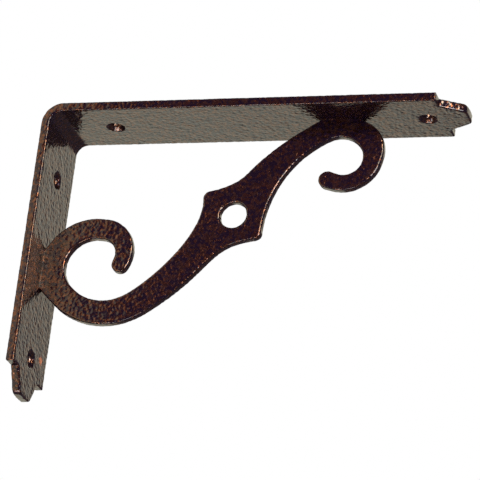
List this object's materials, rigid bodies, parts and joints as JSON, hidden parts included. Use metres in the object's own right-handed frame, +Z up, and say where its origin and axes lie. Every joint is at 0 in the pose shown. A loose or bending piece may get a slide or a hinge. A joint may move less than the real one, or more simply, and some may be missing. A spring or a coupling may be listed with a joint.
{
  "type": "shelf bracket",
  "caption": "Right-angle shelf bracket of bent flat bar with tapered tongue ends, countersunk screw holes and a flat S-scroll brace with a pierced hub in the corner.",
  "frame": {"origin": "on the wall face of the wall leg, at the middle of its width, half way between its two screw holes", "axes": "+X out from the wall along the shelf leg, +Z up towards the shelf face, Y across the bar, whose mid-plane is Y = 0"},
  "size_m": [0.1778, 0.034, 0.1245],
  "materials": {
    "hammered_paint": "glossy hammered dark copper-brown paint with fine red-brown and black flecks"
  },
  "bodies": {
    "root": {"strap": "hammered_paint", "scroll_brace": "hammered_paint"}
  },
  "joints": []
}
